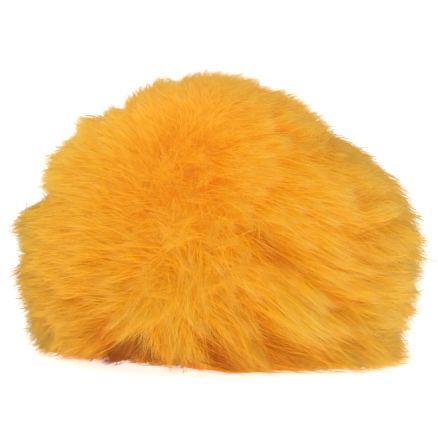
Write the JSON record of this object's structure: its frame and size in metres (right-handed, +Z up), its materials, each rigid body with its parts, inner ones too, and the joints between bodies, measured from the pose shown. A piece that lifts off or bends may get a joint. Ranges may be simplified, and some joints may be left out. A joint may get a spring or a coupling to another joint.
{
  "type": "fur pompom",
  "caption": "Squat ball of dense golden-orange dyed fur, long soft hair radiating from its middle, lying on a flat spot; a trimming for hats, bags, shoes and keys.",
  "frame": {"origin": "on the surface that the pompom rests on, under the middle of its box", "axes": "+Z up out of that surface, +X along the widest way and to the viewer's right, -Y towards the viewer"},
  "size_m": [0.1, 0.094, 0.069],
  "materials": {
    "dyed_fur": "soft, dense, matt dyed fur with a slight sheen along the hair"
  },
  "bodies": {
    "root": {"fur_pompom": "dyed_fur"}
  },
  "joints": []
}
